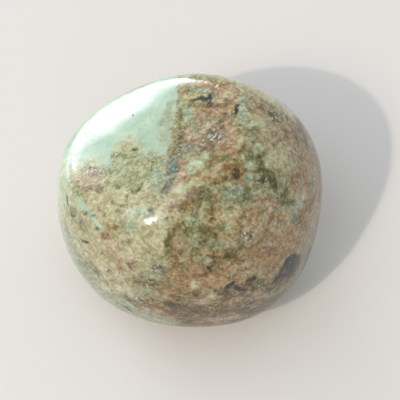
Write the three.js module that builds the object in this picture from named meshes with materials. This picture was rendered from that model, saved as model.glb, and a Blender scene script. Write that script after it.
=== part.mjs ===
// A tumbled turquoise stone that fills a palm: one natural piece, worn round, with a low worn
// patch underneath that it rests on. Millimetres, +X right, +Y away, +Z up.
import * as THREE from 'three';
import { mergeVertices } from 'three/addons/utils/BufferGeometryUtils.js';

// Driving dimensions
const GIRTH_RADIUS = 24.6;
const CROWN_HEIGHT = 26.1;
const KEEL_DEPTH = 16.5;
const RESTING_CUT = 0.8;
const SECTION_SQUARENESS = 2.45;
const WEAR_SHARPNESS = 42;
const MESH_DETAIL = 19;
const STONE_COLOUR = 0xa79f7c;
const STONE_ROUGHNESS = 0.35;

// Slow waves round the girth: how many lobes, how much of the radius, and the side a lobe faces.
const GIRTH_WAVES = [
  { lobes: 2, share: 0.0446, facing: 3 },
  { lobes: 3, share: 0.0173, facing: 50.5 },
  { lobes: 4, share: 0.0081, facing: 44.5 },
  { lobes: 5, share: 0.0109, facing: 19.3 },
];

// Broad faces that tumbling wore flatter: the side each one faces, its lean from straight up,
// and its distance from the girth's centre.
const WORN_FACES = [
  { facing: 143, lean: 28.7, reach: 21.2 },
  { facing: 136, lean: 25.6, reach: 20.6 },
  { facing: 226, lean: 68, reach: 25.1 },
  { facing: -38, lean: 66, reach: 25.8 },
  { facing: 62, lean: 56, reach: 29.8 },
  { facing: 160, lean: 118, reach: 23.5 },
  { facing: 20, lean: 126, reach: 21.5 },
];

// Low swells and hollows a palm can feel: where each one faces, how wide it is and its height.
const SWELLS = [
  { facing: 136, lean: 44.4, spread: 18.7, height: 0.78 },
  { facing: 300, lean: 18, spread: 24, height: 0.3 },
  { facing: 200, lean: 38, spread: 20, height: 0.2 },
  { facing: 95, lean: 74, spread: 18, height: 0.25 },
  { facing: 265, lean: 92, spread: 22, height: 0.3 },
  { facing: 340, lean: 78, spread: 16, height: -0.3 },
  { facing: 70, lean: 22, spread: 20, height: -0.2 },
  { facing: 175, lean: 80, spread: 15, height: -0.2 },
];

const radians = THREE.MathUtils.degToRad;

// A unit vector: facing turns from +X towards +Y, and lean is the angle down from +Z.
function towards({ facing, lean }) {
  const level = Math.sin(radians(lean));
  const side = radians(facing);
  return new THREE.Vector3(level * Math.cos(side), level * Math.sin(side), Math.cos(radians(lean)));
}

const wornFaces = WORN_FACES.map((face) => ({ ...face, normal: towards(face) }));
const swells = SWELLS.map((swell) => ({ ...swell, normal: towards(swell) }));

function girthRadius(turn) {
  let share = 1;
  for (const wave of GIRTH_WAVES) {
    share += wave.share * Math.cos(wave.lobes * (turn - radians(wave.facing)));
  }
  return GIRTH_RADIUS * share;
}

// The surface along a direction: a rounded dome on a shallower keel, where each worn face
// takes over softly wherever its plane lies closer in.
function surfaceDistance(direction) {
  const across = Math.hypot(direction.x, direction.y) / girthRadius(Math.atan2(direction.y, direction.x));
  const upright = Math.abs(direction.z) / (direction.z > 0 ? CROWN_HEIGHT : KEEL_DEPTH);
  const pebble = (across ** SECTION_SQUARENESS + upright ** SECTION_SQUARENESS) ** (1 / SECTION_SQUARENESS);
  let wear = pebble ** WEAR_SHARPNESS;
  for (const face of wornFaces) {
    wear += (Math.max(0, direction.dot(face.normal)) / face.reach) ** WEAR_SHARPNESS;
  }
  let distance = wear ** (-1 / WEAR_SHARPNESS);
  for (const swell of swells) {
    const offset = direction.angleTo(swell.normal) / radians(swell.spread);
    distance += swell.height * Math.exp(-(offset ** 2));
  }
  return distance;
}

function stoneGeometry() {
  const sphere = new THREE.IcosahedronGeometry(1, MESH_DETAIL);
  sphere.deleteAttribute('normal');
  sphere.deleteAttribute('uv');
  const geometry = mergeVertices(sphere);
  const points = geometry.attributes.position;
  const restingLevel = RESTING_CUT - KEEL_DEPTH;
  const point = new THREE.Vector3();
  for (let index = 0; index < points.count; index += 1) {
    point.fromBufferAttribute(points, index).normalize();
    point.multiplyScalar(surfaceDistance(point));
    points.setXYZ(index, point.x, point.y, Math.max(point.z, restingLevel));
  }
  geometry.computeBoundingBox();
  const middle = geometry.boundingBox.getCenter(new THREE.Vector3());
  geometry.translate(-middle.x, -middle.y, -restingLevel);
  geometry.computeVertexNormals();
  return geometry;
}

const stone = new THREE.Mesh(
  stoneGeometry(),
  new THREE.MeshStandardMaterial({ color: STONE_COLOUR, roughness: STONE_ROUGHNESS, metalness: 0 }),
);
stone.name = 'stone';

const part = new THREE.Group();
part.name = 'turquoise_stone';
part.add(stone);

export default part;
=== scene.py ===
# %% [markdown]
# # A tumble-polished turquoise stone
#
# The piece is one rounded pebble of turquoise grown through a clay and feldspar matrix. It was rolled in
# a tumbler for weeks until the surface took a soft gloss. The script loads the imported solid, makes a
# finer copy of it, paints the minerals on that copy and sets up a small studio round it.

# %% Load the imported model
import math
import random
import bpy
import bmesh
import numpy as np
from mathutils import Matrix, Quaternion, Vector, noise
from mathutils.bvhtree import BVHTree
from mathutils.kdtree import KDTree

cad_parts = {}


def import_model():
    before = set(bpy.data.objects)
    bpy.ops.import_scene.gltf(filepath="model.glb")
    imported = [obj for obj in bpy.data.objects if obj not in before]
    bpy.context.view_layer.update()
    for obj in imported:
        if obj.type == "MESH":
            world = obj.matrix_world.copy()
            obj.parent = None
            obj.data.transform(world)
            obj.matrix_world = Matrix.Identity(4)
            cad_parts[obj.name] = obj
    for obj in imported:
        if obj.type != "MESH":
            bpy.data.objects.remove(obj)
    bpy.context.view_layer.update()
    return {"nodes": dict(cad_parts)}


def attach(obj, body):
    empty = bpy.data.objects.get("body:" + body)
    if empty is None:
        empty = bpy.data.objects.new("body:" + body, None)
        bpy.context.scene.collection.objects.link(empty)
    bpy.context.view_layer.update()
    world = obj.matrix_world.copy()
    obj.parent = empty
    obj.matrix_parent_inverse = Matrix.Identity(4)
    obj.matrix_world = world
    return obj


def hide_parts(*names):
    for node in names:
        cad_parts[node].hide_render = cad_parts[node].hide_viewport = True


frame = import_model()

print("solids:", sorted(frame["nodes"]))

# %% [markdown]
# ## Colours and directions
#
# Colours are easiest to judge as the hex values of a paint chart, but the renderer adds up light, so one
# function turns them to linear values. A second one turns a heading and a height into a direction, for
# the camera and the lamps.

# %% Colours and directions
MM = 0.001
scene = bpy.context.scene


def linear(hex_colour, alpha=1.0):
    """A hex colour in the linear values that nodes use."""
    values = [int(hex_colour[i:i + 2], 16) / 255 for i in (1, 3, 5)]
    return tuple(v / 12.92 if v <= 0.04045 else ((v + 0.055) / 1.055) ** 2.4 for v in values) + (alpha,)


def heading(azimuth, elevation):
    """The unit vector from the stone towards a place that far round and that high up."""
    turn, climb = math.radians(azimuth), math.radians(elevation)
    return Vector((math.cos(turn) * math.cos(climb), math.sin(turn) * math.cos(climb), math.sin(climb)))


print("one millimetre is", MM, "m in the scene")

# %% [markdown]
# ## Camera
#
# A stone lying on a table is looked at from above, as one does before picking it up. A wide lens close by
# would make its near side swell, so a long lens stands at arm's length.

# %% Camera
LOOK_AT = Vector((2.0, 2.7, 12.0))
SIGHT_AZIMUTH, SIGHT_ELEVATION = 270, 67
SIGHT_DISTANCE = 300
CAMERA_LENS = 138
NEAR_LIMIT, FAR_LIMIT = 0.01, 10.0

towards_eye = heading(SIGHT_AZIMUTH, SIGHT_ELEVATION)
camera = bpy.data.objects.new("camera", bpy.data.cameras.new("camera"))
scene.collection.objects.link(camera)
scene.camera = camera
camera.data.lens = CAMERA_LENS
camera.data.clip_start = NEAR_LIMIT
camera.data.clip_end = FAR_LIMIT
camera.rotation_mode = "QUATERNION"
camera.rotation_quaternion = (-towards_eye).to_track_quat("-Z", "Y")
camera.location = (LOOK_AT + towards_eye * SIGHT_DISTANCE) * MM
print("camera at", [round(value, 3) for value in camera.location])

# %% [markdown]
# ## Floor and daylight
#
# The floor is a plain pale laminate with a satin sheen, one square that reaches past the picture. The
# world is a dim, even grey-white, so the shadow stays open and the lower edge of the stone is still
# readable. The Standard view shows the colours as they are set, with no film look.

# %% Floor and daylight
FLOOR_SIZE = 2.4
FLOOR_COLOUR = "#E9E5E0"
FLOOR_ROUGHNESS = 0.3
WORLD_COLOUR = "#ECF0F4"
WORLD_STRENGTH = 0.6

floor_mesh = bpy.data.meshes.new("floor")
drawn = bmesh.new()
bmesh.ops.create_grid(drawn, x_segments=1, y_segments=1, size=FLOOR_SIZE / 2)
drawn.to_mesh(floor_mesh)
drawn.free()
floor = bpy.data.objects.new("floor", floor_mesh)
scene.collection.objects.link(floor)

floor_paint = bpy.data.materials.new("floor_satin_laminate")
floor_paint.use_nodes = True
floor_shader = floor_paint.node_tree.nodes["Principled BSDF"]
floor_shader.inputs["Base Color"].default_value = linear(FLOOR_COLOUR)
floor_shader.inputs["Roughness"].default_value = FLOOR_ROUGHNESS
floor.data.materials.append(floor_paint)

world = bpy.data.worlds.new("world")
scene.world = world
world.use_nodes = True
world.node_tree.nodes["Background"].inputs["Color"].default_value = linear(WORLD_COLOUR)
world.node_tree.nodes["Background"].inputs["Strength"].default_value = WORLD_STRENGTH
scene.view_settings.view_transform = "Standard"
print("floor", FLOOR_SIZE, "m across")

# %% [markdown]
# ## Lamps
#
# One big light would leave no clear highlight, and the gloss of the polish would not show. So a compact
# warm lamp casts the soft-edged shadow, and a tall hood in the same direction widens its highlight, which
# would be a pinprick on so round a form. A wide cool softbox fills the left side. A low panel lays the
# long white reflection on the worn shoulder, and a strip near the floor carries it on to the rim.

# %% Lamps
WARM, COOL, CLEAR = "#FFF4E6", "#EAF2FF", "#F0F8FF"
SUN_TOWARDS, SUN_STRENGTH, SUN_ANGLE = (223, 49.5), 0.72, math.radians(1.6)
AREA_LAMPS = (
    # name           towards        m    W     colour  roll  outline      m wide  m tall
    ("lamp_hood",    (224, 48.6),   1.3, 2.7,  WARM,   45,   "ELLIPSE",   0.11,   0.36),
    ("wide_softbox", (172, 57),     1.3, 4.4,  COOL,   0,    "RECTANGLE", 1.3,    1.1),
    ("low_panel",    (118.7, 7.6),  0.8, 2.9,  CLEAR,  -9,   "RECTANGLE", 0.335,  0.19),
    ("low_strip",    (127, 1.2),    0.8, 0.85, CLEAR,  0,    "RECTANGLE", 0.56,   0.08),
)


def add_light(name, kind, towards, distance, energy, colour, roll=0, **settings):
    """A lamp some metres off in a direction, aimed at the stone and rolled by some degrees."""
    lamp = bpy.data.lights.new(name, kind)
    lamp.energy = energy
    lamp.color = linear(colour)[:3]
    for setting, value in settings.items():
        setattr(lamp, setting, value)
    holder = bpy.data.objects.new(name, lamp)
    holder.location = towards * distance
    holder.rotation_mode = "QUATERNION"
    turn = Quaternion((0, 0, 1), math.radians(roll))
    holder.rotation_quaternion = towards.to_track_quat("Z", "Y") @ turn
    scene.collection.objects.link(holder)


add_light("compact_lamp", "SUN", heading(*SUN_TOWARDS), 1, SUN_STRENGTH, WARM, angle=SUN_ANGLE)
for name, towards, distance, energy, colour, roll, shape, wide, tall in AREA_LAMPS:
    outline = {"shape": shape, "size": wide, "size_y": tall}
    add_light(name, "AREA", heading(*towards), distance, energy, colour, roll, **outline)

# %% [markdown]
# ## The fine surface
#
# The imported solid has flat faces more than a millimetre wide. The real stone is smooth, with hollows
# finer than that. A sculpted copy would drift away from the solid, so the solid's own copy is merged into
# one skin and subdivided twice. Catmull-Clark keeps the worn curves, and its points, a quarter of a
# millimetre apart, are close enough to carry pits and cracks.

# %% The fine surface
FINE_LEVELS = 2
MERGE_WITHIN = 0.001

coarse = frame["nodes"]["stone"].data.copy()
drawn = bmesh.new()
drawn.from_mesh(coarse)
bmesh.ops.remove_doubles(drawn, verts=drawn.verts, dist=MERGE_WITHIN * MM)
drawn.to_mesh(coarse)
drawn.free()
coarse.materials.clear()
blank = bpy.data.objects.new("blank", coarse)
scene.collection.objects.link(blank)
finer = blank.modifiers.new("finer", "SUBSURF")
finer.levels = FINE_LEVELS
finer.render_levels = FINE_LEVELS
stone_mesh = bpy.data.meshes.new_from_object(blank.evaluated_get(bpy.context.evaluated_depsgraph_get()))
bpy.data.objects.remove(blank)
bpy.data.meshes.remove(coarse)
stone_mesh.name = "tumbled_stone"
stone_mesh.shade_smooth()
stone = bpy.data.objects.new("tumbled_stone", stone_mesh)
scene.collection.objects.link(stone)

point_count = len(stone_mesh.vertices)
flat_values = np.empty(point_count * 3)
stone_mesh.vertices.foreach_get("co", flat_values)
points = flat_values.reshape(-1, 3) / MM
stone_mesh.vertices.foreach_get("normal", flat_values)
normals = flat_values.reshape(-1, 3).copy()
print("stone:", point_count, "points,", len(stone_mesh.polygons), "faces")

# %% [markdown]
# ## Places on the stone
#
# Places on the upper face are written as millimetres to the right and up on a sheet held square to the
# line of sight, and a ray from the eye carries each one down to the skin. A pocket is then a lens-shaped
# body in the stone, so it looks right from any side.

# %% Places on the stone
eye = LOOK_AT + towards_eye * SIGHT_DISTANCE
sheet_right = Vector((1.0, 0.0, 0.0))
sheet_up = towards_eye.cross(sheet_right)
skin = BVHTree.FromPolygons(
    [Vector(place) for place in points],
    [tuple(face.vertices) for face in stone_mesh.polygons],
)


def on_skin(right, up):
    """The place on the stone, in millimetres, that the eye sees at that place on the sheet."""
    mark = LOOK_AT + sheet_right * right + sheet_up * up
    place = skin.ray_cast(eye, (mark - eye).normalized())[0]
    return place if place else skin.find_nearest(mark)[0]


print("crown seen at", [round(value, 1) for value in on_skin(0, 0)])

# %% [markdown]
# ## Warping
#
# Minerals do not grow as neat ellipses. Before any distance is measured, the points are shifted by a
# smooth noise vector, so each pocket bends and swells like its neighbours. The middle of a pocket is
# shifted with them, so it stays where it was put.

# %% Warping
WARPS = ((5.0, 0.7), (2.0, 0.4))  # the width of the waves and how far they shift, in millimetres


def bent(place):
    """A place shifted by the smooth noise, in millimetres."""
    place = Vector(place)
    shift = Vector((0, 0, 0))
    for width, reach in WARPS:
        shift += reach * noise.noise_vector(place / width)
    return place + shift


warped = np.array([bent(place) for place in points])
print(f"largest shift {np.abs(warped - points).max():.2f} mm")

# %% [markdown]
# ## Patches
#
# Each mineral gets one number per point: how many millimetres inside its nearest body the point lies,
# negative outside. A painted mask would blur from close up. The material later roughens this number with
# noise instead, so an edge stays crisp. Wide fields that end on old fractures are patches: they have
# corners on the sheet and stop a little way round the outline.

# %% Patches
NOWHERE = -4.0
PATCH_WARP = 0.5
PATCH_WRAP = 9.0
PAST_OUTLINE = 0.2
LEAST_RISE = 1e-9

to_eye = np.array(towards_eye)
facing = normals @ to_eye
slack = points + PATCH_WARP * (warped - points) - np.array(LOOK_AT)
shrink = 1 - slack @ to_eye / SIGHT_DISTANCE
sheet = np.stack([slack @ np.array(axis) / shrink for axis in (sheet_right, sheet_up)], 1)


def distance_to_lines(places, route, closed=False):
    """The distance from each place to the nearest stretch of a route."""
    stops = [np.array(stop) for stop in route]
    pairs = zip(stops, stops[1:] + stops[:1]) if closed else zip(stops, stops[1:])
    nearest = np.full(len(places), np.inf)
    for start, end in pairs:
        run = end - start
        share = np.clip((places - start) @ run / (run @ run), 0, 1)
        nearest = np.minimum(nearest, np.linalg.norm(places - start - share[:, None] * run, axis=1))
    return nearest


def patch(*corners):
    """A patch with corners on the sheet, which stops a little past the stone's outline."""
    inside = np.zeros(point_count, bool)
    for (x0, y0), (x1, y1) in zip(corners, corners[1:] + corners[:1]):
        crosses = (y0 > sheet[:, 1]) != (y1 > sheet[:, 1])
        rise = y1 - y0 if y1 != y0 else LEAST_RISE
        inside ^= crosses & (sheet[:, 0] < (x1 - x0) * (sheet[:, 1] - y0) / rise + x0)
    depth = distance_to_lines(sheet, corners, closed=True) * np.where(inside, 1, -1)
    return np.minimum(depth, (facing + PAST_OUTLINE) * PATCH_WRAP)


print(f"the eye sees {100 * np.mean(facing > 0):.0f} % of the skin")

# %% [markdown]
# ## Pockets and veins
#
# Most bodies of mineral are pockets that filled a gap in the clay. An ellipsoid gives their depth in one
# formula, and twice as deep as it is wide it meets the skin in a clean edge. Veins are filled cracks, so
# they keep one width along a route. A row for a pocket holds its place to the right and up, its half
# length and half width, and the turn of its long axis in degrees. The rows run from the top down.

# %% Pockets and veins
POCKET_DEEPENING = 2


def lens(place, along, across, through, length, width, depth):
    """An ellipsoid of half sizes length, width and depth along three directions."""
    offset = warped - np.array(bent(place))
    spans = ((along, length), (across, width), (through, depth))
    reach = sum((offset @ np.array(axis) / half) ** 2 for axis, half in spans)
    return (1 - np.sqrt(reach)) * min(length, width)


def pocket(right, up, length, width, turn=0):
    """A pocket seen at a place on the sheet, with its half sizes and the turn of its long axis."""
    place = on_skin(right, up)
    scale = (place - eye).length / SIGHT_DISTANCE
    angle = math.radians(turn)
    along = sheet_right * math.cos(angle) + sheet_up * math.sin(angle)
    across = sheet_up * math.cos(angle) - sheet_right * math.sin(angle)
    depth = POCKET_DEEPENING * max(length, width)
    return lens(place, along, across, towards_eye, length * scale, width * scale, depth)


def pockets(*rows):
    """Several pockets as one: each point keeps its largest depth in any of them."""
    return np.maximum.reduce([pocket(*row) for row in rows])


def vein(half_width, *route):
    """A vein that follows a route of places on the sheet."""
    return half_width - distance_to_lines(warped, [bent(on_skin(*stop)) for stop in route])


print("a pocket of 2 x 1 mm covers", int((pocket(0, 0, 1, 0.5) > 0).sum()), "points")

# %% [markdown]
# ## The hidden sides
#
# The back, the flanks and the underside hold the same minerals. Pockets placed there one by one would say
# nothing more, so a seeded draw strews them, the same each run. A wide one grows two more lobes, each
# smaller and turned its own way, or it would look like a disc.

# %% The hidden sides
HIDDEN_FACING = 0.1
HIDDEN_POINTS = np.nonzero(facing < HIDDEN_FACING)[0]
WIDE_POCKET = 1.6
LOBES, LOBE_STEP, LOBE_SIZE = 3, 0.8, 0.7


def scattered(seed, count, shortest, longest, slenderness=0.45):
    """Pockets strewn by a seeded draw over the sides that the sheet does not reach."""
    draw = random.Random(seed)
    depth = np.full(point_count, NOWHERE)
    for _ in range(count):
        chosen = HIDDEN_POINTS[draw.randrange(len(HIDDEN_POINTS))]
        outward, middle = Vector(normals[chosen]), Vector(points[chosen])
        length = draw.uniform(shortest, longest)
        width = length * draw.uniform(slenderness, 1)
        for _ in range(LOBES if length > WIDE_POCKET else 1):
            along = Quaternion(outward, draw.uniform(0, math.tau)) @ outward.orthogonal().normalized()
            across = outward.cross(along)
            depth = np.maximum(depth, lens(middle, along, across, outward, length, width, length))
            middle = middle + along * length * LOBE_STEP
            length, width = length * LOBE_SIZE, width * LOBE_SIZE
    return depth


print("hidden points:", len(HIDDEN_POINTS))

# %% [markdown]
# ## A mineral on the mesh
#
# The material has to read each depth where the skin is. A texture picture would need an unwrapped stone
# and would blur, so the depth is kept as one value per point, under the mineral's name.

# %% A mineral on the mesh
minerals = {}


def record(name, *depths):
    """Keeps a mineral's depth on the mesh and prints how much of the skin it covers."""
    depth = np.maximum.reduce([np.full(point_count, NOWHERE), *depths])
    minerals[name] = depth
    layer = stone_mesh.attributes.new(name, "FLOAT", "POINT")
    layer.data.foreach_set("value", depth.astype(np.float32))
    print(f"{name}: {100 * np.mean(depth > 0):.0f} % of the skin")


# %% [markdown]
# ## Cream clay
#
# The pale yellow-green clay is the ground of the left and lower left side. It is one patch, because its
# border follows straight old breaks, and smaller pockets of it show through on the right.

# %% Cream clay
left_ground = patch(
    (-30, 9), (-22, 12), (-12, 14), (-7.5, 9.5), (-6.4, 2), (-1.5, 5.2), (0.5, 4.2), (-1.5, 2.2),
    (-4.6, -1.2), (-4.8, -4), (-6.8, -8), (-7.4, -11), (-6.5, -13), (-9, -14), (-13, -14.6), (-14, -18),
    (-18, -22), (-30, -12),
)
upper_rim = patch(
    (-5, 23.9), (0, 24.1), (5, 23.3), (9, 21.6), (14.4, 17.9), (17.6, 15), (30, 20), (0, 32), (-6, 30),
)
record("cream", left_ground, upper_rim, scattered(11, 16, 2.5, 6), pockets(
    (7.8, 20.7, 1.8, 1.3, -20), (9.8, 20.4, 1.2, 0.8), (-3.4, 18, 1, 1.6), (2.2, 14.6, 0.9, 0.7),
    (9.6, 15.2, 1, 0.8), (12, 17, 1, 0.8), (12.8, 16.2, 1.4, 1.6), (14.4, 14.4, 1.6, 1.2, -30),
    (14.6, 14.6, 2.4, 1.4, -40), (16.2, 15.2, 1.2, 0.8), (8.3, 11.2, 0.8, 1.4), (10.6, 10.6, 0.9, 1.2),
    (12.9, 12.9, 1.2, 1.2), (13.4, 10.8, 1.2, 1), (14.8, 12, 1.5, 1.1), (16.6, 10.2, 2, 1.9, 60),
    (17.6, 11.6, 1.2, 1), (8.8, 8.9, 0.8, 0.9), (12.2, 8.4, 0.8, 1.2), (14.6, 8.4, 2.9, 1.7, 40),
    (16, 9, 2.2, 2.2), (17.6, 8.2, 1, 1), (18.4, 6.2, 1, 1.2), (18.8, 8.6, 0.8, 1.8), (19.6, 9.2, 0.6, 1),
    (-3.3, 2.9, 1.8, 0.9, 35), (4, 2.6, 1.2, 0.8, 30), (4.5, 5.4, 1.4, 0.6, -25), (17, 5, 0.9, 1.6),
    (-6.8, -2, 1.6, 1.6), (20.2, 0.4, 0.8, 1.8), (5.5, -5.6, 1.8, 0.6, 20), (6, -2.7, 2.2, 1.2, 5),
    (12.2, -3, 0.9, 1.8), (-8.4, -6.8, 1.4, 1.1), (6.8, -8.4, 0.8, 1.3), (9.9, -6.8, 1.1, 0.6),
    (-17.9, -12.6, 1.6, 1.6), (-3.3, -11.6, 1, 0.9), (-1.3, -17, 0.8, 1.1), (1.8, -18.6, 1.8, 0.9, 10),
))

# %% [markdown]
# ## Brown clay
#
# Towards the top and along the lower right the clay holds more iron and less calcite, so the ground there
# is a dull brown. A patch carries it under the lower edge, and pockets break up its border.

# %% Brown clay
lower_ground = patch(
    (20.6, -9), (17, -15.4), (11.8, -17.6), (5, -20.2), (-4, -21.2), (-7, -30), (30, -30), (30, -12),
)
record("brown", lower_ground, scattered(27, 12, 2, 5), pockets(
    (2, 17.5, 2.2, 1.1), (-0.6, 11.2, 3.6, 1.9, 15), (3, 13, 2.2, 1.6, 10), (-21.8, 4.8, 1.6, 0.8, -10),
    (-19.6, 3.4, 0.8, 1.4), (7.2, 5, 1, 1), (1.2, -8, 2.2, 1.3, -10), (6.4, -10.6, 1.8, 1.2),
    (7, -12.8, 1.6, 0.9), (9, -17.4, 3.6, 1.4, 12), (14.4, -17.4, 4.6, 2.2, 38),
    (18.8, -14.2, 1.4, 3.6, -24), (-12.2, -20.6, 3.2, 0.8, -22), (-3, -19.4, 2.2, 0.7),
    (-3, -21.8, 4.6, 1.1, -5), (7.4, -20.4, 6.4, 1.9, 8), (9, -22, 6, 1.4, 14),
))

# %% [markdown]
# ## Tan clay
#
# Iron gives part of the clay a warm beige. Many small pockets that overlap make the soft passages between
# the cream and the salmon. One large pocket would look like a stain.

# %% Tan clay
record("tan", scattered(26, 26, 1.2, 4), pockets(
    (-3.9, 21.5, 1.1, 1.3), (3.6, 20.2, 1.6, 1), (6.9, 20.8, 1.4, 1.2), (10.2, 19.4, 2.6, 1.6, -30),
    (11.9, 18.3, 1.4, 1.5), (0.4, 16.6, 1.8, 1), (17.2, 14.1, 1.4, 0.9), (-0.6, 13.8, 2.6, 1.6, 20),
    (4.8, 12, 1, 1.4), (6.2, 13, 0.9, 2.4), (15.4, 13, 1.9, 1.4, 20), (17.4, 12.4, 2, 2.4, -40),
    (18.9, 10.6, 1.1, 2.8, 10), (-12.6, 6.6, 1.2, 1.8, 10), (3.4, 6.4, 1.6, 1, 25), (7.2, 9.6, 1.4, 0.9),
    (20.2, 8.8, 0.8, 3), (-21.4, 3.9, 3, 2.4, -10), (-3.6, 5, 1, 1.7, -10), (18.8, 4, 1.4, 3.2),
    (-5.6, -1.4, 1.6, 0.8, 40), (11, -1.4, 1.6, 1.2), (12.8, 1.3, 0.9, 0.9), (13, -0.6, 1.4, 1.9),
    (15.4, -4.6, 2.4, 1.8), (-17, -9.8, 1.4, 2.2, 30), (-3.2, -8.8, 0.9, 1.2), (6, -8.6, 1.6, 1.6),
    (11.4, -7.2, 2.4, 1.4), (12.6, -9, 1.6, 1.6), (19.4, -8, 1.2, 2.8), (-15.7, -12.6, 0.9, 1.6, -15),
    (-13.8, -12.6, 1.6, 0.9), (8.6, -11.6, 2.2, 1.6), (9.6, -13.6, 3.2, 1.2, 5), (15.9, -13.4, 3.2, 1.2, 40),
    (-16.7, -15.9, 1.2, 0.8), (-11, -21.3, 2.4, 0.8, -15), (0.8, -19.8, 2.6, 0.9, 4),
    (8.2, -19.6, 2.4, 0.8, 6), (11.6, -18.6, 2.4, 1), (4.6, -22.8, 3.8, 0.7, 6),
))

# %% [markdown]
# ## Yellow-green clay
#
# Between the turquoise and the cream lies an olive-tinted clay, stained by the same copper. It is a patch
# whose upper border the turquoise covers, so no gap can open between the two.

# %% Yellow-green clay
below_turquoise = patch(
    (-20, 7.6), (-16, 9.2), (-12, 9.6), (-10, 9), (-6.4, 9), (-6.6, 5), (-9.2, 4.6), (-9.8, 3.2), (-12, 1.4),
    (-16, 1.8), (-18.6, 3), (-18.4, 6),
)
fracture_line = vein(0.8, (-3, 20.2), (-3.4, 17), (-3.3, 14.8))
record("yellow_green", below_turquoise, fracture_line, scattered(12, 9, 1.5, 4), pockets(
    (-22.8, 6.3, 1.3, 1.1), (-25.9, 3.6, 0.7, 1.6, -15), (-10.4, -1.2, 1.4, 0.7), (-1, -5.6, 0.9, 0.5),
    (5.2, -5.4, 1, 0.6), (-2.4, -7.4, 2, 0.6),
))

# %% [markdown]
# ## Salmon feldspar
#
# Pinkish feldspar breaks up the matrix on the right and along the lower edge. Its grains grew in clumps,
# so a pocket stands for a clump and the material adds the grains.

# %% Salmon feldspar
record("salmon", scattered(13, 30, 0.7, 2.6), pockets(
    (0.9, 22.6, 1.6, 0.8), (4, 22, 1.4, 0.9), (6.6, 22.4, 0.6, 0.8), (12.1, 18.1, 0.9, 0.9),
    (-0.5, 16.9, 1.2, 0.8), (3.1, 17.5, 1.2, 0.8), (6.2, 13.9, 0.6, 1.2), (16.9, 13.6, 0.8, 0.5),
    (19.3, 12, 0.5, 1.4, 15), (3.2, 8.5, 0.9, 0.7), (5.6, 9.9, 1.6, 0.9), (1.2, 4.7, 1.3, 0.6),
    (18.6, 4.2, 0.8, 1.6), (-5.7, -1.7, 0.7, 0.4, 50), (13.2, 0.6, 0.7, 0.7), (18.3, 1.8, 0.7, 0.6),
    (10.4, -3.4, 1.3, 1.2, 60), (15.4, -8.6, 2.2, 2), (19.7, -7.9, 0.6, 1.2), (-15.8, -12.9, 0.5, 0.8, -15),
    (11.2, -12.2, 1.8, 1), (13.9, -10.9, 2.2, 1.2, -20), (-5.4, -14.2, 1.4, 0.9, 60),
    (-3.6, -16.6, 2.2, 1.5, 20), (-0.6, -14.3, 1.3, 0.7), (2.6, -15.8, 2.6, 1.5, 8), (5.2, -14.7, 0.9, 0.6),
    (9.2, -17.2, 0.8, 0.4), (-5.8, -18.1, 1.3, 0.8, 10),
))

# %% [markdown]
# ## Moss-green clay
#
# Where copper tinted the clay, it turns a greyed moss green. It forms loose clouds round the darker olive
# spots, so its pockets are wider than theirs and lie below them. Its vein on the turquoise's fracture edge
# is partly moss and partly painted shade along that crease.

# %% Moss-green clay
# Partly moss, partly painted shade along the turquoise's fracture crease.
fracture_foot_painted_shade = vein(0.7, (-4.4, 14.6), (-4.8, 12), (-5.3, 9.4))
record("moss_and_painted_shade", fracture_foot_painted_shade, scattered(14, 20, 1.2, 4), pockets(
    (-5, 16.4, 0.8, 2.8, -6), (-1.2, 14.8, 0.7, 1.8), (6.8, 15.8, 0.8, 1.4), (8.4, 17, 0.9, 1.6),
    (8.8, 14.8, 0.8, 1.4), (16, 16.6, 1, 0.6, -45), (10, 12.4, 1.2, 2.6, 10), (-2.2, 9.6, 2, 1.6),
    (11, 8.2, 1.8, 2.6, -10), (5.4, 2.2, 1.3, 1.3), (13.8, 3.6, 4, 2.6, -25), (22, 4, 0.9, 2.4),
    (-25.5, -0.6, 0.8, 1.4), (-24.2, 1.5, 1, 1.8), (-22.9, -0.3, 0.9, 0.8), (0.6, 0.6, 2, 2.6, -15),
    (6.2, -0.6, 2, 1), (9, 0.6, 2, 2.4), (17, 0.4, 1.8, 1.6), (-23.6, -5.6, 1.2, 0.7, -40),
    (-0.6, -4.4, 2.2, 2, 30), (4.2, -5.4, 0.8, 1), (8.2, -4.6, 0.8, 1), (18.6, -3.4, 1, 1.4),
    (-1, -9.2, 1.4, 1.6, 20), (3, -8.8, 2.2, 1.6, -15), (8.4, -7.9, 1.2, 0.8), (-22.4, -13.2, 2.6, 0.9, -48),
    (-6.6, -10.9, 0.8, 0.8), (0.3, -11.4, 1.2, 0.8), (-11.2, -16.4, 2.6, 1, -8), (15.2, -17.6, 1.8, 1.2, 30),
    (-17.4, -18.3, 3.2, 0.9, -45), (-9.6, -18.9, 2, 0.6), (10.4, -21.2, 1.1, 0.8), (-6.8, -23.3, 1.4, 0.8),
))

# %% [markdown]
# ## Turquoise
#
# The largest body of turquoise is the smooth seafoam field on the left shoulder. It ends on a straight
# old fracture on the right and fades into the clay below. One patch has one kind of edge, so the field is
# the overlap of two: one cut along the fracture, and one whose depth grows slowly, which gives a soft
# edge. A short streak of the same mineral crosses the left rim.

# %% Turquoise
SOFT_EDGE = 0.25

fracture_side = patch(
    (-4.3, 24.5), (-4.5, 20), (-5.1, 16.5), (-5.7, 14.2), (-6.3, 11), (-6.8, 9.3), (-11.4, 9.2), (-14, -4),
    (-32, -4), (-30, 20), (-5, 30),
)
clay_side = patch(
    (-4, 30), (0, 8), (-8.4, 7.6), (-10, 9.2), (-11.8, 10.8), (-13.6, 11.2), (-15.4, 10), (-17.6, 8.4),
    (-20.2, 7.8), (-23, 7.8), (-25.4, 6.6), (-26.4, 2), (-26.6, -2), (-30, -4), (-30, 24),
)
streak = vein(0.65, (-23.6, -0.8), (-21.2, -3), (-19.4, -5.2))
record("turquoise", np.minimum(fracture_side, SOFT_EDGE * clay_side), streak, scattered(15, 7, 2.0, 5.0, 0.4))
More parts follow.
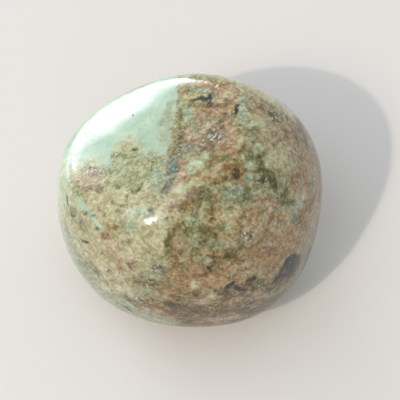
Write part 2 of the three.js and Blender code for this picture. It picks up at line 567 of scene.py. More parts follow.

# %% [markdown]
# ## Mint blooms
#
# Paler mint blooms are turquoise thinned out into the clay. They are pockets with ragged edges, and one
# patch runs round the left rim, where the sheet is too steep to place pockets well. That pale rim is partly
# mint and partly painted reflection of the bright floor, which the grazing rim shows.

# %% Mint blooms
# The left rim patch: partly mint, partly painted reflection of the bright floor at the grazing rim.
left_rim_painted_reflection = patch(
    (-31, 10), (-26.1, 8.6), (-26, 3), (-25.2, -0.6), (-26.4, -3), (-31, -4),
)
record("mint_and_painted_reflection", left_rim_painted_reflection, scattered(16, 16, 0.6, 2.2), pockets(
    (-3, 23.6, 1, 0.5, 30), (7.6, 22.6, 0.8, 0.5, -30), (8.2, 20, 0.6, 0.5), (10.7, 15, 0.9, 0.6),
    (11.6, 10.6, 0.6, 0.9), (-1.6, 6, 1, 0.8), (-0.5, 7.4, 1.7, 1.1, 10), (1, 8.6, 0.9, 0.8),
    (10, 6.9, 0.5, 0.5), (-3.6, 2.2, 1, 0.7, 30), (11, 1.8, 1, 0.6), (19.2, -0.8, 0.6, 1),
    (-13.6, -4.9, 1.3, 1.8), (-12.6, -2.6, 2.4, 1.6, 20), (-11, -2.4, 1.2, 1.5), (-2.2, -3.6, 0.8, 1),
    (17.5, -3, 0.5, 1.3), (-24.6, -8.2, 0.7, 2.2, 22), (-7.1, -12.2, 0.6, 0.5),
    (-18.4, -17.6, 0.8, 0.5, -45), (-12.4, -19, 0.9, 0.35, -10),
))

# %% [markdown]
# ## Ochre and rust
#
# Iron stained the matrix yellow-brown in clouds and red-brown in small spots. They are two minerals here,
# because the clouds have frayed edges and the spots sharp ones. One red hairline curls on the right.

# %% Ochre and rust
record("ochre", scattered(17, 18, 0.6, 2), pockets(
    (2.4, 22.5, 0.6, 0.6), (0.9, 18, 1.3, 0.6, 10), (2.5, 7.6, 1, 0.6, 20), (4.9, 6.9, 0.8, 0.5, 40),
    (6, 6.3, 1.4, 0.9, 10), (2.9, 4, 1.4, 0.7, -15), (5.3, 4.1, 1.1, 0.6), (7.2, 5.3, 1.6, 1.1),
    (8.4, 5.6, 0.6, 0.4), (-3.4, -0.7, 1.5, 0.6, 10), (-1.3, -0.2, 1, 0.5), (-0.6, 1.6, 1.5, 0.6, 20),
    (4.4, 1, 0.25, 0.9), (-17.2, -5.4, 1.4, 0.5, -20), (2.3, -2.2, 0.5, 1.5), (2.4, -4, 0.8, 0.5),
    (-4.6, -12.6, 0.8, 0.9), (6.5, -11.8, 1, 0.6, -10), (8.4, -13.7, 0.7, 0.5), (10.2, -10.8, 1, 0.5),
    (1, -14.6, 1, 0.4), (-7.4, -20.4, 2.4, 0.5, 2),
))
red_hairline = vein(0.16, (14.3, 10.7), (14.9, 11.5), (15.8, 11.7), (16.8, 12.1), (17, 12.7), (16.6, 13.6))
record("rust", red_hairline, scattered(18, 34, 0.25, 0.9), pockets(
    (-3, 21.2, 0.4, 0.6), (4.4, 20.9, 0.25, 0.35), (0, 17.4, 0.3, 0.3), (2.3, 17.6, 0.35, 0.45),
    (3.4, 17.7, 0.45, 0.3), (5.7, 14.7, 0.45, 0.35, -30), (1.8, 10.3, 0.3, 0.45), (14.9, 13, 0.3, 0.3),
    (-3.2, 7.1, 0.5, 0.22, 30), (-1.4, 6.6, 0.25, 0.2), (4.6, 9.9, 0.6, 0.3), (18, 9.1, 0.3, 0.5),
    (-2.5, 4.4, 0.7, 0.45, 10), (1, 4.3, 0.5, 0.3), (18.5, 3.7, 0.5, 0.8), (19.2, 4.9, 0.3, 0.4),
    (-2.1, 1.2, 0.35, 0.8, 10), (-18.2, -7.2, 1.2, 0.7, 8), (18.4, -7.8, 0.35, 0.3),
    (12.3, -12.6, 0.35, 0.3), (-3.4, -14.9, 0.9, 0.3, 20), (-2.6, -16.8, 0.4, 0.3), (3.6, -17, 0.7, 0.3),
))

# %% [markdown]
# ## Olive spots
#
# The dark olive clouds are the strongest accents after the blue-black chain. Small ones are sprinkled
# through the yellow-green clay, and fine veins of the same colour follow old breaks. The two widest
# veins, on the turquoise's fracture edge, are partly olive and partly painted shade along that crease. The
# long line near the lower left rim is painted reflection of darker surroundings.

# %% Olive spots
olive_veins_with_painted_shade_and_reflection = (
    # Partly olive, partly painted shade along the turquoise's fracture crease: this vein and the next.
    vein(0.7, (-3.9, 11.6), (-4.5, 10.2), (-5, 8.8)),
    vein(0.4, (-3.5, 13.2), (-3.9, 11.6)),
    vein(0.22, (-9.2, 7.4), (-9.4, 5)),
    vein(0.16, (-3.8, 17.6), (-4, 15.4), (-3.8, 13.6)),
    vein(0.18, (-4.1, -3.9), (-4.9, -5.4), (-6, -7)),
    # Painted reflection of darker surroundings: the dark line inside the lower left rim.
    vein(0.25, (-26.4, -5), (-24.4, -10.4), (-22, -14), (-20, -17), (-17.2, -19.4)),
)
record("olive_with_painted_shade_and_reflection", *olive_veins_with_painted_shade_and_reflection, scattered(19, 60, 0.3, 1.3), pockets(
    (-2.1, 18.5, 0.8, 0.3), (-7.4, 15.4, 0.2, 0.5, 10), (-5.9, 14.3, 0.25, 0.2), (-3.8, 16.4, 0.35, 1.1),
    (10.7, 17.8, 0.2, 0.35), (11.2, 14, 0.5, 0.25, -20), (-2.2, 11.4, 0.4, 0.5), (-1.5, 10, 0.8, 0.6),
    (8.4, 10, 0.6, 0.9), (11.3, 8.2, 0.7, 0.8), (11.8, 6.9, 0.8, 0.7), (-17.5, 5.6, 0.3, 0.3),
    (-16.2, 2.6, 0.5, 0.35), (9, 2.3, 0.8, 0.7), (9.2, 4.7, 0.25, 0.4), (11.2, 2.6, 1.1, 0.5),
    (11.9, 3.3, 0.45, 0.35), (12.6, 4.4, 0.3, 0.7, -20), (12.6, 5.6, 1.3, 0.6), (13.7, 4.5, 1.1, 1.5, 15),
    (14.6, 2.6, 0.4, 0.35), (-19.8, -1.6, 0.35, 0.4), (-17.3, -0.3, 0.28, 0.5), (-14.9, -1.1, 0.75, 0.35),
    (-14.2, 0.9, 0.3, 0.5, -20), (-13.4, 1.6, 0.35, 0.35), (-11.2, 0.2, 0.5, 0.15, 20),
    (-0.2, -0.6, 0.6, 0.9), (0.3, 0.6, 0.8, 0.8), (0.7, 1.9, 1.1, 0.9), (2, 0.9, 0.5, 0.25, 20),
    (5.8, -1.5, 0.4, 0.3), (8, -1.9, 0.6, 0.22, 10), (8.3, -0.2, 0.35, 0.3), (8.5, 0.7, 0.35, 0.5),
    (16.8, 1.2, 0.7, 0.8), (17, -0.7, 1.1, 0.4), (20.6, -0.5, 0.25, 0.4), (-18.7, -3, 0.25, 0.35),
    (-16.2, -2.1, 0.55, 0.45), (-5.6, -3.3, 0.45, 0.3), (-4.3, -5, 0.5, 0.4, 45), (-3.3, -4.3, 0.6, 0.7),
    (-2.9, -2.4, 0.3, 0.6, 30), (-2.4, -5.9, 0.8, 0.7), (7.8, -3.4, 0.35, 0.35), (19.6, -4.1, 0.4, 0.9),
    (-15.2, -8, 0.35, 0.4), (-13.8, -8.2, 0.6, 0.45, 40), (-12.8, -9.5, 0.5, 0.2, -20),
    (-6.1, -9.6, 1, 1.8, 5), (-0.6, -10, 1, 1.1), (1.3, -6.2, 1.6, 0.9, -35), (2.4, -6.9, 0.8, 0.5),
    (-3.6, -10.2, 0.5, 0.5), (2.5, -11.1, 0.7, 0.6), (6.2, -10.8, 1.2, 1), (-12.6, -16, 0.5, 0.3),
    (-11.3, -15, 0.3, 0.25), (-9.4, -15.8, 0.8, 0.5), (12.3, -16.8, 1, 0.4), (15, -17.5, 1.2, 0.8, 40),
))

# %% [markdown]
# ## Blue-grey, grey-green and teal
#
# A line of blue-grey runs down from the turquoise and holds one small drop of clear teal. The line is
# partly blue-grey and partly painted shade along the turquoise's fracture crease. Round it, copper left a
# thin grey-green veil. Along the lower left rim a grey-green band is painted reflection of darker
# surroundings, which the grazing rim shows. Veil and band are a colour of their own over the clay, which is
# easier to steer than a see-through layer.

# %% Blue-grey, grey-green and teal
# Partly blue-grey, partly painted shade along the turquoise's fracture crease.
grey_line_painted_shade = vein(0.85, (-5.3, 8.2), (-5.5, 5.4), (-6, 4), (-6.7, 1.8))
record("blue_grey_and_painted_shade", grey_line_painted_shade, scattered(20, 14, 0.5, 1.8), pockets(
    (2.2, 21, 0.6, 0.6), (5.2, 19.3, 0.4, 0.6), (8.3, 17.5, 0.5, 1.5), (6.9, 1.5, 1.2, 0.8, 10),
    (-24.9, -2.6, 0.8, 0.35, -15), (-23.6, -4.2, 1.6, 0.5, -12), (-9.7, -2.2, 0.6, 0.7),
    (-20.6, -13.6, 1.8, 0.7, -50), (-7.6, -13.6, 1.5, 0.9), (11.8, -15.8, 0.9, 0.35),
    (14.3, -14.6, 0.3, 0.8), (7.5, -18.4, 1.2, 0.5),
))
# Painted reflection of darker surroundings: the grey-green band along the lower left rim.
lower_left_rim_painted_reflection = patch(
    (-31, -3), (-26.4, -4), (-23.8, -11), (-19.4, -17.2), (-15.6, -20.3), (-19, -23), (-31, -30),
)
fracture_veil = vein(1.4, (-5.4, 18.6), (-6.6, 15), (-7, 11.6))
record("grey_green_and_painted_reflection", lower_left_rim_painted_reflection, fracture_veil, scattered(28, 12, 0.8, 2.6), pockets(
    (-1.4, 22, 1, 0.8), (0.3, 21.5, 1.2, 0.7), (-2.3, 17.2, 0.8, 1.6), (8.4, 17.2, 0.7, 2.2),
    (-9.6, 9, 2.6, 0.7), (-8, 4.6, 3.3, 1.3, 82), (9.6, 4.2, 1.1, 1.1), (7, 1.4, 1.8, 1.2, 10),
    (15.8, -1.8, 1, 0.6, -25), (19, -1, 0.7, 1.6), (-11.4, -17.8, 2.2, 0.5), (-10.4, -14.4, 1.4, 0.4),
    (-8.2, -15.2, 1.2, 0.6), (-14.4, -21, 2.8, 1.2, -32), (-11, -24, 2.2, 1.6), (-9.8, -22.8, 2.8, 0.8, -14),
    (-6.6, -24.2, 2, 0.7),
))
record("teal", scattered(21, 8, 0.3, 0.8), pockets(
    (-1.8, 23.8, 0.35, 0.35), (-5.3, 6.3, 0.65, 0.75), (-26, 0.2, 0.3, 0.9, 10), (8.5, 1.2, 0.22, 0.3),
    (-22.3, -2.6, 0.7, 0.3, 20), (-21, -3.1, 0.6, 0.32), (-20, -5.6, 0.4, 0.5), (18.4, -11, 0.5, 0.25),
))

# %% [markdown]
# ## Dark brown and blue-black
#
# Dark brown iron oxide fills small cavities, and a duller purple-brown lies in pockets along the lower
# edge. Its wide band along the lower right rim is painted shade.
# Blue-black manganese oxide runs along the lower right as a broken chain, the mark that this stone is
# known by. Its links are short pockets that overlap, so the chain swells and thins.

# %% Dark brown and blue-black
brown_hairlines = (
    vein(0.1, (-13.9, -12.4), (-13, -12.3), (-12, -12)),
    vein(0.1, (-10.5, -9.8), (-9.7, -10.6), (-8.9, -11)),
)
record("dark_brown", *brown_hairlines, scattered(22, 44, 0.2, 0.7, 0.4), pockets(
    (-12.8, 18.6, 0.16, 0.14), (-2.3, 21.3, 0.32, 0.9), (-13.1, 16.6, 0.28, 0.3, 30), (5, 16.9, 0.3, 0.28),
    (12.7, 17.6, 0.2, 0.18), (17, 16.1, 0.4, 0.15, -50), (19.6, 14.9, 0.3, 0.7, 30), (-0.1, 10.7, 0.2, 0.35),
    (1.3, 13.6, 0.2, 0.2), (7.4, 12.9, 0.36, 0.22, 10), (19.4, 13.6, 0.22, 0.35), (-12.8, 9.9, 0.4, 0.3),
    (-12, 2.1, 0.3, 0.9, -28), (-11.5, 2.9, 0.25, 0.5, -20), (3.1, 3.3, 0.2, 0.35),
    (4.2, 3.5, 0.45, 0.16, 30), (6.6, 5.5, 0.4, 0.3), (7.2, 4.7, 0.72, 0.52, 10), (7.3, 5.9, 0.52, 0.65),
    (-24.9, -3.1, 0.4, 0.25, -20), (-8.5, -4.1, 0.28, 0.18), (-6.9, -3.7, 0.35, 0.12, 10),
    (2.4, -3.6, 0.35, 0.3), (7.95, -5.7, 0.17, 0.35), (-22.2, -8.2, 0.9, 0.4, -10), (-2.6, -7, 0.2, 0.3),
    (-0.1, -8.4, 0.14, 0.3), (9.6, -7.3, 0.4, 0.16, 30), (1.6, -13.4, 0.45, 0.35), (2, -13.9, 0.25, 0.25),
    (-14.1, -21.4, 0.8, 0.28, -40), (-13.8, -19.7, 0.4, 0.25), (-5.4, -20.3, 1.3, 0.26, 3),
    (-3, -20.8, 1, 0.2, -8), (7.8, -20.7, 0.35, 0.2), (10.1, -20, 0.9, 0.18),
))
# Painted shade: the wide darker band along the lower right rim.
lower_right_rim_painted_shade = vein(1.4, (18.9, -15.4), (16, -18.5), (13, -20.5), (9.5, -21.8))
record("purple_brown_and_painted_shade", lower_right_rim_painted_shade, scattered(23, 10, 0.6, 2, 0.3), pockets(
    (1.3, 18.4, 0.9, 0.3), (19.7, 14.4, 0.5, 1.6, 28), (20.6, 11.5, 0.4, 1.6, 15),
    (-9.2, -19.6, 1.6, 0.3, 4), (-4.8, -20.9, 2.6, 0.6, -4), (-1.6, -21.6, 1.8, 0.5, -4),
    (4.4, -18.2, 1.5, 0.55, -10), (5.2, -18.8, 0.9, 0.5),
))
black_links = (
    vein(0.25, (-1.6, 19.5), (-0.6, 19.7), (0.2, 19.8)),
    vein(0.1, (11, -15.3), (12.4, -15.6)),
)
record("blue_black", *black_links, scattered(24, 9, 0.4, 1.6, 0.3), pockets(
    (0.8, 19.8, 1.2, 0.5, 5), (1.9, 19, 0.3, 0.5), (1.9, 20.1, 0.5, 0.9), (7.3, 18.5, 0.38, 0.4),
    (7.05, 17.6, 0.42, 1.2, -4), (17.5, -12.6, 1.8, 1.4, -10), (18.4, -11.8, 1.2, 1.4, -20),
    (18.5, -13.7, 1.3, 1.8, -30), (5.9, -16.7, 1.15, 0.5, 36), (7.3, -17.3, 1.15, 0.65, -28),
    (8.5, -17.6, 0.7, 0.3, -10), (9.5, -15.7, 0.6, 0.3, 25), (10.35, -15.35, 0.85, 0.5, 12),
    (15.3, -15.2, 1.3, 0.7, 25), (16.5, -14, 1.5, 1.3, 30),
))

# %% [markdown]
# ## Coarse spots and cracks
#
# In a few spots the grains never took a polish; there near-black grains sit among painted glints. One
# hairline crosses the upper right. It is three veins of different width, because a real crack closes
# towards its ends.

# %% Coarse spots and cracks
record("coarse", scattered(25, 26, 0.5, 1.5), pockets(
    (14.5, 16.3, 1.2, 1, -30), (0.6, 11.4, 0.6, 0.4, -20), (2.8, 12.5, 1.6, 1.3, -60), (4.4, 12.8, 0.4, 0.3),
    (-20.6, 6.2, 2.2, 0.5, -5), (-16.8, 8.6, 1, 0.4, 20), (7.3, 7.8, 1, 0.35), (17.6, 8.4, 0.8, 0.6),
    (12.1, 3.8, 0.8, 0.7), (-7.6, -3.9, 0.8, 0.4), (9.2, -6.9, 1.3, 0.7), (-18.9, -10.8, 0.8, 0.5, -50),
    (-17.9, -13.8, 0.7, 0.4, -45), (-8.2, -13, 1, 0.7), (16.6, -13.9, 0.5, 0.4), (-9.7, -16.6, 1.2, 0.6),
    (5.6, -15, 0.6, 0.4), (11.5, -17.2, 1.4, 0.5), (-11.8, -19.2, 1, 0.5),
))
hairline = (
    vein(0.1, (8.6, 22.3), (9.5, 21.6), (10.9, 20.7)),
    vein(0.12, (11.2, 20.2), (12.4, 19.3), (14.1, 18.1)),
    vein(0.07, (14.1, 18.1), (15.2, 17.3), (16.4, 16.5)),
)
record("crack", *hairline)

# %% [markdown]
# ## Relief
#
# Tumbling leaves a skin that is smooth but not perfect. Broad swells come from the hard and soft minerals
# wearing unevenly, and small pits and cracks stay open because the polish never reaches them. Bump in a
# material would leave the outline and the mesh too smooth, so the points themselves move along their
# normals. The resting flat is left alone so the stone sits still.

# %% Relief
SWELLS = ((9.0, 0.05), (3.2, 0.012), (1.2, 0.005))  # the width of the waves and their height
HARD_DEPTH = 1.5
HARD_LOSS = 0.5
CRACK_DEPTH = 0.06
CRACK_SLOPE = 0.25

relief = np.zeros(point_count)
for width, height in SWELLS:
    relief += height * np.array([noise.noise(Vector(place) / width) for place in points])
hard = np.clip(minerals["turquoise"] / HARD_DEPTH, 0, 1)
relief *= 1 - HARD_LOSS * hard
relief -= CRACK_DEPTH * np.clip(1 + minerals["crack"] / CRACK_SLOPE, 0, 1)
print(f"swells and cracks from {relief.min():.2f} to {relief.max():.2f} mm")

# %% [markdown]
# ## Pits
#
# Soft grains break out of the clay in the tumbler and leave shallow round pits, which the hard turquoise
# escapes. A seeded draw picks their middles, and a tree of the points finds the few that each one moves.

# %% Pits
PIT_SEED = 31
PIT_COUNT = 340
PIT_RADIUS = (0.25, 0.45)
PIT_DEPTH = (0.01, 0.03)
PITLESS = 0.5
FLAT_LEVEL = 0.3
FLAT_MARGIN = 2.5

nearby = KDTree(point_count)
for index, place in enumerate(points):
    nearby.insert(place, index)
nearby.balance()
draw = random.Random(PIT_SEED)
for _ in range(PIT_COUNT):
    centre = points[draw.randrange(point_count)]
    radius, depth = draw.uniform(*PIT_RADIUS), draw.uniform(*PIT_DEPTH)
    for place, index, distance in nearby.find_range(centre, radius):
        if hard[index] < PITLESS:
            relief[index] -= depth * (1 - (distance / radius) ** 2) ** 2

relief *= np.clip((points[:, 2] - FLAT_LEVEL) / FLAT_MARGIN, 0, 1)
carved = points + normals * relief[:, None]
carved[:, 2] = np.maximum(carved[:, 2], 0)
stone_mesh.vertices.foreach_set("co", (carved * MM).ravel())
stone_mesh.update()
print(f"relief from {relief.min():.2f} to {relief.max():.2f} mm")

# %% [markdown]
# ## Nodes
#
# The material is long, so one small function adds any node, sets its options and sockets, and joins its
# inputs. Everything is measured in millimetres: Object coordinates times a thousand.

# %% Nodes
paint = bpy.data.materials.new("turquoise_in_matrix_tumble_polished")
paint.use_nodes = True
tree = paint.node_tree
shader = tree.nodes["Principled BSDF"]
MIX_A, MIX_B, MIX_RESULT = 6, 7, 2  # the colour sockets of a Mix node


def add_node(kind, settings=None, links=None):
    """Adds a shader node. Settings are its options or its sockets' values, and links feed its sockets."""
    made = tree.nodes.new("ShaderNode" + kind)
    for name, value in (settings or {}).items():
        if isinstance(name, str) and hasattr(made, name):
            setattr(made, name, value)
        else:
            made.inputs[name].default_value = value
    for socket, source in (links or {}).items():
        tree.links.new(source, made.inputs[socket])
    return made


object_place = add_node("TexCoord").outputs["Object"]
to_mm = {"operation": "SCALE", "Scale": 1 / MM}
in_mm = add_node("VectorMath", to_mm, {"Vector": object_place}).outputs[0]
print("material:", paint.name)

# %% [markdown]
# ## One mineral as a layer
#
# Real minerals are never one colour: each is a crowd of grains. So a layer takes three shades, dark,
# middle and light, and picks between them with noise of that mineral's own grain size. The same noise
# frays its edge by a stated number of millimetres.

# %% One mineral as a layer
NOISE_MIDDLE = 0.5
NOISE_STRAY = 0.15
NOISE_DISTORTION = 0.2
LUMPS_A_MM = 0.5
SHADE_STOPS = (0.32, 0.5, 0.68)


def lumps(grain, detail=4, roughness=0.65, drift=0.0):
    """The settings of noise with lumps as large as a grain. Each drift gives its own pattern."""
    return {"noise_dimensions": "4D", "W": drift, "Scale": LUMPS_A_MM / grain, "Detail": detail,
            "Roughness": roughness, "Distortion": NOISE_DISTORTION}


def body_colour(value, shades):
    """The colour of a mineral, from its shades and a value round the middle of the noise."""
    ramp = add_node("ValToRGB", None, {"Fac": value})
    stops = ramp.color_ramp.elements
    stops[0].position, stops[1].position = SHADE_STOPS[0], SHADE_STOPS[2]
    middle = stops.new(SHADE_STOPS[1])
    for stop, shade in zip((stops[0], middle, stops[2]), shades):
        stop.color = linear(shade)
    return ramp.outputs["Color"]


def mineral_mask(name, fraying, edge, ragged):
    """How much of a mineral shows: its depth, frayed by noise and softened over an edge."""
    depth = add_node("Attribute", {"attribute_name": name}).outputs["Fac"]
    spread = ragged / NOISE_STRAY
    by_noise = {"operation": "MULTIPLY_ADD", 1: spread}
    frayed = add_node("Math", by_noise, {0: fraying, 2: depth}).outputs[0]
    middle = NOISE_MIDDLE * spread
    limits = {"interpolation_type": "SMOOTHSTEP", "From Min": middle - edge, "From Max": middle + edge}
    return add_node("MapRange", limits, {"Value": frayed}).outputs["Result"]


OVER = {"data_type": "RGBA"}
print("shades lie at", SHADE_STOPS, "of the noise")

# %% [markdown]
# ## The matrix
#
# The ground is a mottled tan clay. Two slow noises drive it: one for light and dark, one that leans the
# hue towards green or pink, as the copper and the feldspar content change. A faint slope across the stone
# adds pink towards the right and the front, where there is more feldspar.

# %% The matrix
GREEN_CLAY = ("#78734A", "#A09A6B", "#C9C18E")
PINK_CLAY = ("#7C6742", "#AA8E63", "#D2B987")
PINKER_TOWARDS = (0.004, -0.002, 0.0)
MOTTLE_SIZE, LEAN_SIZE = 2.6, 4
LEAN_START, LEAN_END = 0.42, 0.58

mottle_lumps = lumps(MOTTLE_SIZE, detail=6, roughness=0.68)
mottle = add_node("TexNoise", mottle_lumps, {"Vector": in_mm}).outputs["Fac"]
lean = add_node("TexNoise", lumps(LEAN_SIZE, detail=3, drift=3.7), {"Vector": in_mm}).outputs["Fac"]
green_clay = body_colour(mottle, GREEN_CLAY)
pink_clay = body_colour(mottle, PINK_CLAY)
slope = {"operation": "DOT_PRODUCT", 1: PINKER_TOWARDS}
slope_of_hue = add_node("VectorMath", slope, {0: in_mm}).outputs["Value"]
leaning = add_node("Math", {"operation": "ADD"}, {0: lean, 1: slope_of_hue}).outputs[0]
lean_range = {"From Min": LEAN_START, "From Max": LEAN_END}
pinkness = add_node("MapRange", lean_range, {"Value": leaning}).outputs["Result"]
covering = {0: pinkness, MIX_A: green_clay, MIX_B: pink_clay}
colour = add_node("Mix", OVER, covering).outputs[MIX_RESULT]
print("nodes so far:", len(tree.nodes))

# %% [markdown]
# ## The minerals, from the ground up
#
# Each row is one mineral: its three shades, its grain, how soft its edge is and how far it frays, in
# millimetres. The order is that of growth, so the dark oxides that fill cavities come last.

# %% The minerals
LAYERS = {
    #                dark       middle     light       grain  edge  ragged
    "cream":        ("#B0AA86", "#C6C09C", "#DAD6B8", 1.6, 0.8, 0.7),
    "brown":        ("#463519", "#735B30", "#A38A58", 0.9, 0.9, 0.8),
    "tan":          ("#958668", "#B5A384", "#D1C2A5", 1.0, 0.8, 0.7),
    "yellow_green": ("#9A9D73", "#ADAF87", "#C2C4A0", 1.4, 0.7, 0.5),
    "salmon":       ("#8B714F", "#AF9069", "#CDB38C", 1.0, 0.7, 0.6),
    "moss_and_painted_shade":         ("#7B7B57", "#A0A079", "#C0C09C", 1.0, 0.7, 0.7),
    "turquoise":    ("#A2BAA2", "#B2C9B0", "#C6D8C0", 2.4, 0.4, 0.35),
    "mint_and_painted_reflection":         ("#A5AF8F", "#C1C9AA", "#D8DEC6", 1.3, 0.6, 0.4),
    "ochre":        ("#755C2C", "#957B42", "#B39A60", 0.8, 0.5, 0.4),
    "olive_with_painted_shade_and_reflection":        ("#584F24", "#77703D", "#97905C", 0.8, 0.45, 0.3),
    "rust":         ("#82674A", "#A4845F", "#C0A27A", 0.5, 0.35, 0.15),
    "blue_grey_and_painted_shade":    ("#62644E", "#868971", "#A9AC92", 0.7, 0.45, 0.25),
    "grey_green_and_painted_reflection":   ("#909B80", "#A8B296", "#BCC5AB", 0.9, 0.5, 0.4),
    "teal":         ("#48625A", "#5C776B", "#84A08D", 0.5, 0.25, 0.1),
    "purple_brown_and_painted_shade": ("#4C3C28", "#67553B", "#87755A", 0.7, 0.4, 0.3),
    "dark_brown":   ("#33240A", "#4F3E1C", "#6C5730", 0.4, 0.2, 0.08),
    "blue_black":   ("#161515", "#2E2C2B", "#5C5751", 0.5, 0.25, 0.1),
}
DRIFT_STEP = 1.3

shares = {}
for order, (name, (*shades, grain, edge, ragged)) in enumerate(LAYERS.items()):
    fraying = add_node("TexNoise", lumps(grain, drift=DRIFT_STEP * order), {"Vector": in_mm})
    split = add_node("SeparateColor", None, {"Color": fraying.outputs["Color"]})
    shares[name] = mineral_mask(name, fraying.outputs["Fac"], edge, ragged)
    body = body_colour(split.outputs["Green"], shades)
    covering = {0: shares[name], MIX_A: colour, MIX_B: body}
    colour = add_node("Mix", OVER, covering).outputs[MIX_RESULT]
print("layers:", len(shares))

# %% [markdown]
# ## Grains
#
# Seen close, the matrix is a mass of grains about half a millimetre across. A Voronoi cell gives each one
# its own brightness. Its straight sides would look like cut glass, so noise shakes them first. Soft light
# keeps the hue below. The turquoise is so fine-grained that it shows hardly any.

# %% Grains
GRAIN_SIZE = 0.5
GRAIN_SHAKE = 0.7
GRAIN_GREYS = ("#4A4A4A", "#808080", "#B8B8B8")
GRAINS_IN_CLAY, GRAINS_IN_TURQUOISE = 0.75, 0.15

jitter = add_node("TexNoise", lumps(GRAIN_SIZE, detail=2, drift=9.1), {"Vector": in_mm})
shaking = {"operation": "MULTIPLY_ADD", 1: (GRAIN_SHAKE,) * 3}
shaken = add_node("VectorMath", shaking, {0: jitter.outputs["Color"], 2: in_mm}).outputs[0]
cells = add_node("TexVoronoi", {"Scale": 1 / GRAIN_SIZE}, {"Vector": shaken})
grey_value = add_node("SeparateColor", None, {"Color": cells.outputs["Color"]}).outputs["Red"]
greys = body_colour(grey_value, GRAIN_GREYS)
visible = {"To Min": GRAINS_IN_CLAY, "To Max": GRAINS_IN_TURQUOISE}
grain_share = add_node("MapRange", visible, {"Value": shares["turquoise"]}).outputs["Result"]
soft_light = {**OVER, "blend_type": "SOFT_LIGHT"}
covering = {0: grain_share, MIX_A: colour, MIX_B: greys}
colour = add_node("Mix", soft_light, covering).outputs[MIX_RESULT]
print("nodes so far:", len(tree.nodes))

# %% [markdown]
# ## Specks
#
# Loose grains of iron oxide and of white feldspar pepper the clay, a few tenths of a millimetre wide.
# Each Voronoi cell may hold one round speck at its middle: the distance to the middle sets its size and
# the cell's own random value decides if it is there.

# %% Specks
SPECKS = (
    # shade     spacing  radius  share  strength  drift
    ("#45381F", 0.8,     0.22,   0.5,   0.7,      2.0),
    ("#E6E2CC", 0.8,     0.2,    0.42,  0.6,      11.0),
)
SPECK_EDGE = (1.2, 0.6)  # a speck fades in between these shares of its radius


def specks(spacing, radius, share, strength, drift):
    """Round specks of that radius, in a share of the cells of a grid with that spacing, in millimetres."""
    settings = {"voronoi_dimensions": "4D", "W": drift, "Scale": 1 / spacing}
    grid = add_node("TexVoronoi", settings, {"Vector": in_mm})
    lot = add_node("SeparateColor", None, {"Color": grid.outputs["Color"]}).outputs["Blue"]
    chosen = add_node("Math", {"operation": "LESS_THAN", 1: share}, {0: lot}).outputs[0]
    outer, inner = (edge * radius / spacing for edge in SPECK_EDGE)
    limits = {"From Min": outer, "From Max": inner, "To Max": strength}
    round_part = add_node("MapRange", limits, {"Value": grid.outputs["Distance"]}).outputs["Result"]
    return add_node("Math", {"operation": "MULTIPLY"}, {0: chosen, 1: round_part}).outputs[0]


for shade, *layout in SPECKS:
    in_grains = {0: specks(*layout), 1: grain_share}
    speck_share = add_node("Math", {"operation": "MULTIPLY"}, in_grains).outputs[0]
    speck = {**OVER, MIX_B: linear(shade)}
    colour = add_node("Mix", speck, {0: speck_share, MIX_A: colour}).outputs[MIX_RESULT]
print("nodes so far:", len(tree.nodes))

# %% [markdown]
# ## Painted glints and cracks
#
# In the coarse spots near-black grains sit side by side with pale cells, which are painted glints: finer
# cells with hard contrast stand for the sparkle of the unpolished grains. The hairlines are filled with
# brown polishing grit.

# %% Painted glints and cracks
GLINT_CELL_SIZE = 0.34
GLINT_CELL_DARKENING = 1.7
GRAIN_AND_PAINTED_GLINT_SHADES = ("#343120", "#6E694C", "#D8D4B6")
GRAINS_AND_PAINTED_GLINTS_STRENGTH = 0.7
COARSE_EDGE, COARSE_RAGGED = 0.45, 0.25
CRACK_COLOUR = "#5E4C38"
CRACK_STRENGTH = 0.8
CRACK_EDGE, CRACK_RAGGED = 0.12, 0.03

# Painted glints: the pale cells stand for sparkle, and the near-black cells are dark grains.
glint_cells = add_node("TexVoronoi", {"Scale": 1 / GLINT_CELL_SIZE}, {"Vector": shaken})
glint_split = add_node("SeparateColor", None, {"Color": glint_cells.outputs["Color"]})
darken = {"operation": "POWER", 1: GLINT_CELL_DARKENING}
glint_value = add_node("Math", darken, {0: glint_split.outputs["Green"]}).outputs[0]
grains_and_painted_glints = body_colour(glint_value, GRAIN_AND_PAINTED_GLINT_SHADES)
coarse_share = mineral_mask("coarse", jitter.outputs["Fac"], COARSE_EDGE, COARSE_RAGGED)
thin = {"operation": "MULTIPLY", 1: GRAINS_AND_PAINTED_GLINTS_STRENGTH}
grains_and_painted_glints_share = add_node("Math", thin, {0: coarse_share}).outputs[0]
covering = {0: grains_and_painted_glints_share, MIX_A: colour, MIX_B: grains_and_painted_glints}
colour = add_node("Mix", OVER, covering).outputs[MIX_RESULT]

crack_share = mineral_mask("crack", jitter.outputs["Fac"], CRACK_EDGE, CRACK_RAGGED)
thin = {"operation": "MULTIPLY", 1: CRACK_STRENGTH}
crack_share = add_node("Math", thin, {0: crack_share}).outputs[0]
grit = {**OVER, MIX_B: linear(CRACK_COLOUR)}
colour = add_node("Mix", grit, {0: crack_share, MIX_A: colour}).outputs[MIX_RESULT]
tree.links.new(colour, shader.inputs["Base Color"])
print("nodes so far:", len(tree.nodes))

# %% [markdown]
# ## Polish
#
# Weeks in the tumbler give the whole stone one even gloss, with a roughness near 0.15. On the turquoise
# it is a little higher, because its fine grains blur the edge of a reflection, and in the coarse spots it
# rises by a trace. Turquoise has an index of refraction near 1.61.

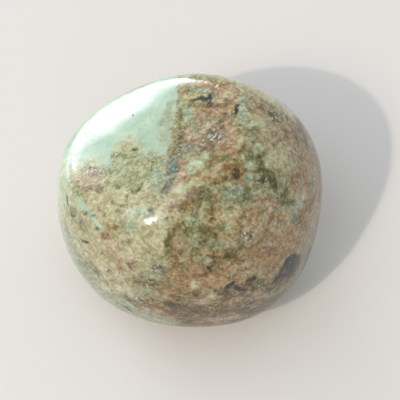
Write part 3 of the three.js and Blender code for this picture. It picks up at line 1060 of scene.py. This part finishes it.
# %% Polish
TURQUOISE_ROUGHNESS = 0.18
MATRIX_ROUGHNESS = 0.14
COARSE_ROUGHNESS = 0.15
TURQUOISE_IOR = 1.61

to_turquoise = {"To Min": MATRIX_ROUGHNESS, "To Max": TURQUOISE_ROUGHNESS}
polish = add_node("MapRange", to_turquoise, {"Value": shares["turquoise"]}).outputs["Result"]
to_coarse = {"operation": "MULTIPLY_ADD", 1: COARSE_ROUGHNESS - MATRIX_ROUGHNESS}
polish = add_node("Math", to_coarse, {0: coarse_share, 2: polish}).outputs[0]
tree.links.new(polish, shader.inputs["Roughness"])
shader.inputs["IOR"].default_value = TURQUOISE_IOR
print("roughness from", MATRIX_ROUGHNESS, "to", TURQUOISE_ROUGHNESS)

# %% [markdown]
# ## Bump
#
# Each clay grain stands a few microns proud of its neighbours, which breaks up the reflections. Points a
# quarter of a millimetre apart cannot carry that, so it is the one part of the relief left to bump. It is
# nearly absent on the turquoise.

# %% Bump
BUMP_GRAIN = 0.45
BUMP_HEIGHT = 0.012
BUMP_IN_CLAY, BUMP_IN_TURQUOISE = 1.0, 0.15

bumps = add_node("TexNoise", lumps(BUMP_GRAIN, detail=3, drift=5.5), {"Vector": in_mm})
centre_noise = {"operation": "SUBTRACT", 1: NOISE_MIDDLE}
level = add_node("Math", centre_noise, {0: bumps.outputs["Fac"]}).outputs[0]
bump_range = {"To Min": BUMP_IN_CLAY, "To Max": BUMP_IN_TURQUOISE}
bump_part = add_node("MapRange", bump_range, {"Value": shares["turquoise"]}).outputs["Result"]
height = add_node("Math", {"operation": "MULTIPLY"}, {0: level, 1: bump_part}).outputs[0]
bump = add_node("Bump", {"Strength": 1.0, "Distance": BUMP_HEIGHT * MM}, {"Height": height})
tree.links.new(bump.outputs["Normal"], shader.inputs["Normal"])
stone_mesh.materials.clear()
stone_mesh.materials.append(paint)
print("material nodes:", len(tree.nodes))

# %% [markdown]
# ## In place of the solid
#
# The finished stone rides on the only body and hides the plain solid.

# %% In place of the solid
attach(stone, "root")
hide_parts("stone")
print("dressed:", stone.name)
